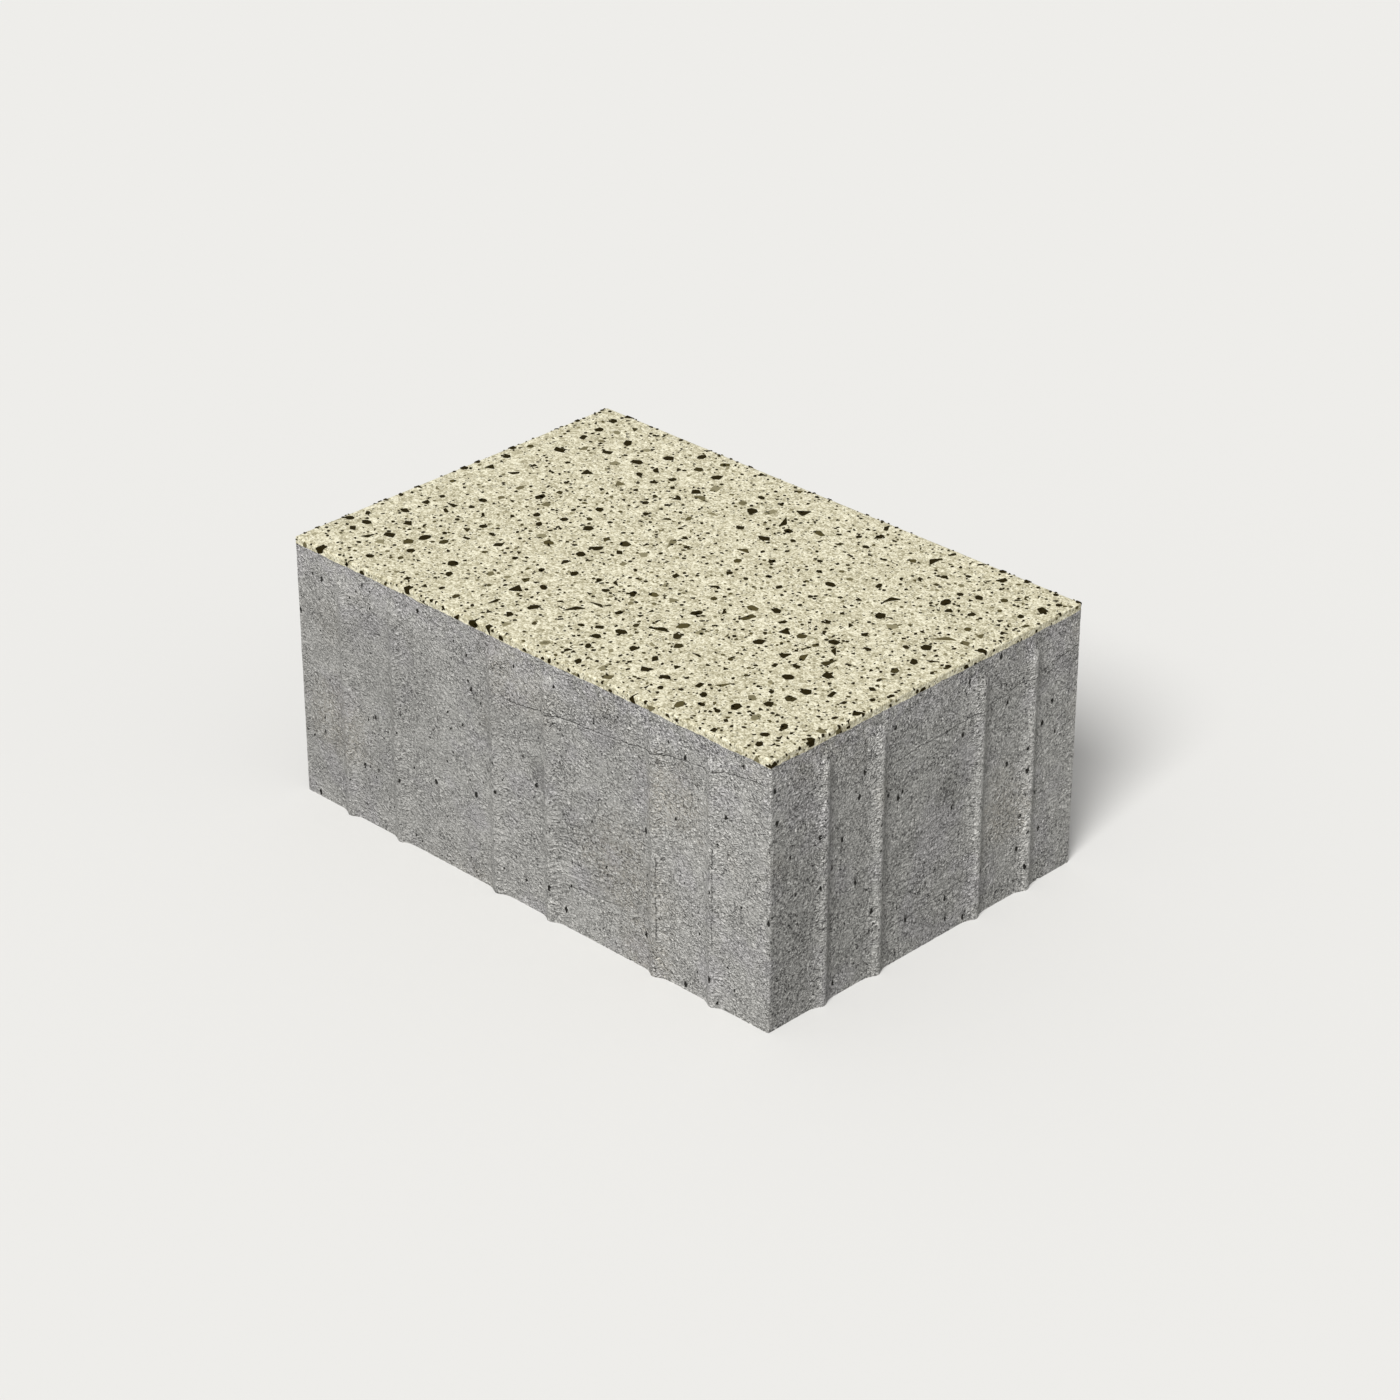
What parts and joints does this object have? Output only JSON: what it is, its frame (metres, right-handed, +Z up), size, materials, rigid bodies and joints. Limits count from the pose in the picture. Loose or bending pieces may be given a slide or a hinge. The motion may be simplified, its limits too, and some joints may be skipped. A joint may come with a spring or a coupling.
{
  "type": "concrete paver",
  "caption": "Rectangular two-layer concrete paver with a flat speckled pale facing on a grey body and vertical spacer ribs on its sides, laid side by side as paving.",
  "frame": {"origin": "centre of the bed face, the flat face that lies on the ground", "axes": "+X along the length, +Y along the width, +Z up towards the pale facing"},
  "size_m": [0.183, 0.123, 0.08],
  "materials": {
    "grey_backing_concrete": "matt, sandy, as pressed",
    "cream_facing_concrete": "matt, fine washed, with dark chips"
  },
  "bodies": {
    "root": {"backing_block": "grey_backing_concrete", "facing_layer": "cream_facing_concrete"}
  },
  "joints": []
}
